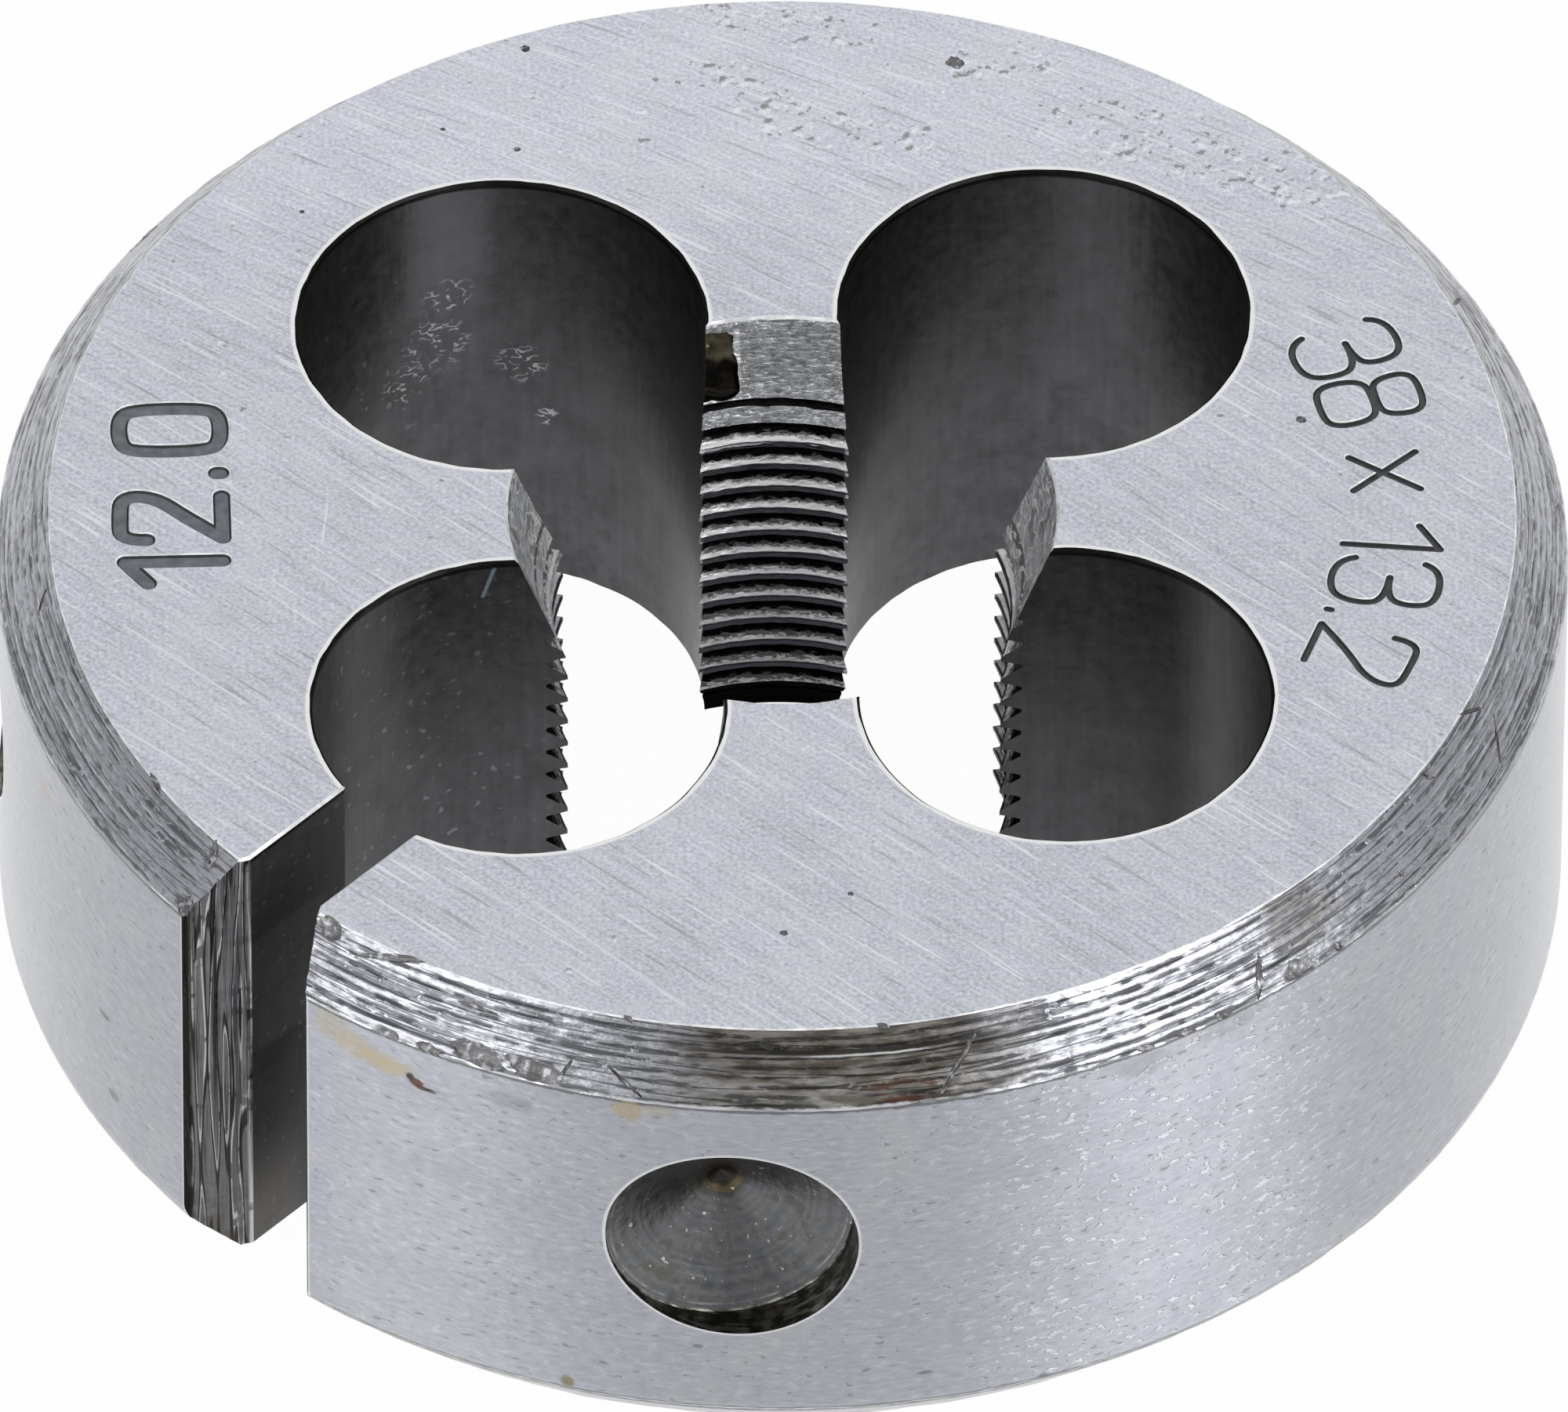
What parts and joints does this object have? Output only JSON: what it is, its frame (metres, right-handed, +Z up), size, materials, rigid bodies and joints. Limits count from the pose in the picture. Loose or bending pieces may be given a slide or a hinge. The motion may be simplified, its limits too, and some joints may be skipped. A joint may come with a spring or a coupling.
{
  "type": "round threading die",
  "caption": "Split round die with a threaded bore, round chip holes, lead cones, a slot with a V mouth and screw dimples in its chamfered rim.",
  "frame": {"origin": "centre of the bottom face, on the bore's axis", "axes": "+Z up along the bore's axis, out of the marked face; the threaded lands lie on X and Y, and the slot opens between -X and -Y"},
  "size_m": [0.038, 0.038, 0.0132],
  "materials": {
    "ground_tool_steel": "ground satin"
  },
  "bodies": {
    "root": {"threading_die": "ground_tool_steel"}
  },
  "joints": []
}
